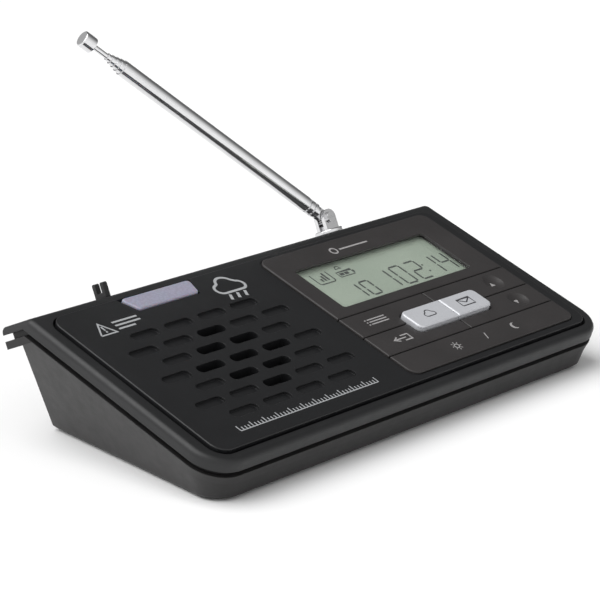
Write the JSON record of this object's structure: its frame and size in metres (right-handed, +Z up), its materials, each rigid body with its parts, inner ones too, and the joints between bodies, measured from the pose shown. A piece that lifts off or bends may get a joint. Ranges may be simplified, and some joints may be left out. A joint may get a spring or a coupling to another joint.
{
  "type": "emergency radio",
  "caption": "Wedge-shaped desktop emergency radio with a sloped control face, slotted speaker panel, display, push keys and a swivelling telescopic antenna.",
  "frame": {"origin": "on the table under the middle of the housing", "axes": "+X to the user's right along the housing's length, +Y to the rear, +Z up"},
  "size_m": [0.163, 0.1007, 0.0992],
  "materials": {
    "frame_plastic": "moulded dark grey, fine texture",
    "shell_plastic": "moulded dark grey, satin",
    "panel_plastic": "near-black satin",
    "module_plastic": "warm dark grey satin",
    "silver_plastic": "silver-painted keys",
    "clear_window": "clear flat window",
    "lcd": "grey-green liquid crystal panel with dark segments",
    "light_lens": "translucent diffuser",
    "white_plastic": "white light guide",
    "silicone": "grey silicone",
    "rubber": "black rubber",
    "foam": "black foam",
    "circuit_board": "green solder mask",
    "chrome": "polished plated tube",
    "steel": "plated sheet and wire",
    "magnet": "ferrite",
    "paper_cone": "doped paper",
    "cell_wrap": "plain printed sleeve"
  },
  "bodies": {
    "housing": {"alert_led_board": "circuit_board", "alert_light_lens": "light_lens", "antenna_clip": "frame_plastic", "antenna_jack": "shell_plastic", "battery_cells": "cell_wrap", "battery_plates": "steel", "battery_springs": "steel", "dc_jack": "shell_plastic", "display_bezel": "module_plastic", "display_window": "clear_window", "housing_screws": "steel", "key_board": "circuit_board", "lcd_backlight": "white_plastic", "lcd_connector": "silicone", "lcd_glass": "lcd", "lower_shell": "shell_plastic", "main_board": "circuit_board", "rubber_feet": "rubber", "rubber_keypad": "silicone", "speaker_basket": "steel", "speaker_cone": "paper_cone", "speaker_gasket": "foam", "speaker_magnet": "magnet", "speaker_panel": "panel_plastic", "top_frame": "frame_plastic", "tuner_shield": "steel"},
    "menu_button": {"menu_key": "module_plastic"},
    "exit_button": {"exit_key": "module_plastic"},
    "up_button": {"up_key": "module_plastic"},
    "down_button": {"down_key": "module_plastic"},
    "weather_button": {"weather_key": "silver_plastic"},
    "message_button": {"message_key": "silver_plastic"},
    "light_button": {"light_key": "module_plastic"},
    "door": {"battery_door": "shell_plastic"},
    "volume_knob": {"volume_slider": "shell_plastic"},
    "antenna_base": {"antenna_swivel": "chrome", "pivot_screw": "chrome"},
    "antenna_mast": {"antenna_knuckle": "chrome", "antenna_tube_1": "chrome"},
    "stage_2": {"antenna_tube_2": "chrome"},
    "stage_3": {"antenna_tube_3": "chrome"},
    "stage_4": {"antenna_tube_4": "chrome"},
    "stage_5": {"antenna_tube_5": "chrome"},
    "stage_rod": {"antenna_rod": "chrome", "antenna_cap": "chrome"}
  },
  "joints": [
    {"name": "menu_press", "type": "slide", "parent": "housing", "child": "menu_button", "axis": [0, 0.3378, -0.9412], "range_m": [0, 0.0007], "stiffness_N_per_m": 500},
    {"name": "exit_press", "type": "slide", "parent": "housing", "child": "exit_button", "axis": [0, 0.3378, -0.9412], "range_m": [0, 0.0007], "stiffness_N_per_m": 500},
    {"name": "up_press", "type": "slide", "parent": "housing", "child": "up_button", "axis": [0, 0.3378, -0.9412], "range_m": [0, 0.0007], "stiffness_N_per_m": 500},
    {"name": "down_press", "type": "slide", "parent": "housing", "child": "down_button", "axis": [0, 0.3378, -0.9412], "range_m": [0, 0.0007], "stiffness_N_per_m": 500},
    {"name": "weather_press", "type": "slide", "parent": "housing", "child": "weather_button", "axis": [0, 0.3378, -0.9412], "range_m": [0, 0.0007], "stiffness_N_per_m": 500},
    {"name": "message_press", "type": "slide", "parent": "housing", "child": "message_button", "axis": [0, 0.3378, -0.9412], "range_m": [0, 0.0007], "stiffness_N_per_m": 500},
    {"name": "light_press", "type": "slide", "parent": "housing", "child": "light_button", "axis": [0, 0.3378, -0.9412], "range_m": [0, 0.0007], "stiffness_N_per_m": 500},
    {"name": "door_hinge", "type": "hinge", "parent": "housing", "child": "door", "pos_m": [0.0235, -0.00495, 0.0006], "axis": [-1, 0, 0], "range_deg": [0, 80]},
    {"name": "volume_slide", "type": "slide", "parent": "housing", "child": "volume_knob", "axis": [0, 0.9412, 0.3378], "range_m": [-0.004, 0.004]},
    {"name": "antenna_turn", "type": "hinge", "parent": "housing", "child": "antenna_base", "pos_m": [0.0412, 0.03307, 0.03798], "axis": [0, 0.3987, 0.9171], "range_deg": [-180, 90]},
    {"name": "antenna_tilt", "type": "hinge", "parent": "antenna_base", "child": "antenna_mast", "pos_m": [0.0412, 0.03307, 0.03798], "axis": [0, 0.9171, -0.3987], "range_deg": [-43.1, 75]},
    {"name": "pull_2", "type": "slide", "parent": "antenna_mast", "child": "stage_2", "axis": [-0.7396, 0.2684, 0.6172], "range_m": [0, 0.062]},
    {"name": "pull_3", "type": "slide", "parent": "stage_2", "child": "stage_3", "axis": [-0.7396, 0.2684, 0.6172], "range_m": [0, 0.062]},
    {"name": "pull_4", "type": "slide", "parent": "stage_3", "child": "stage_4", "axis": [-0.7396, 0.2684, 0.6172], "range_m": [0, 0.062]},
    {"name": "pull_5", "type": "slide", "parent": "stage_4", "child": "stage_5", "axis": [-0.7396, 0.2684, 0.6172], "range_m": [0, 0.062]},
    {"name": "pull_rod", "type": "slide", "parent": "stage_5", "child": "stage_rod", "axis": [-0.7396, 0.2684, 0.6172], "range_m": [0, 0.062]}
  ]
}
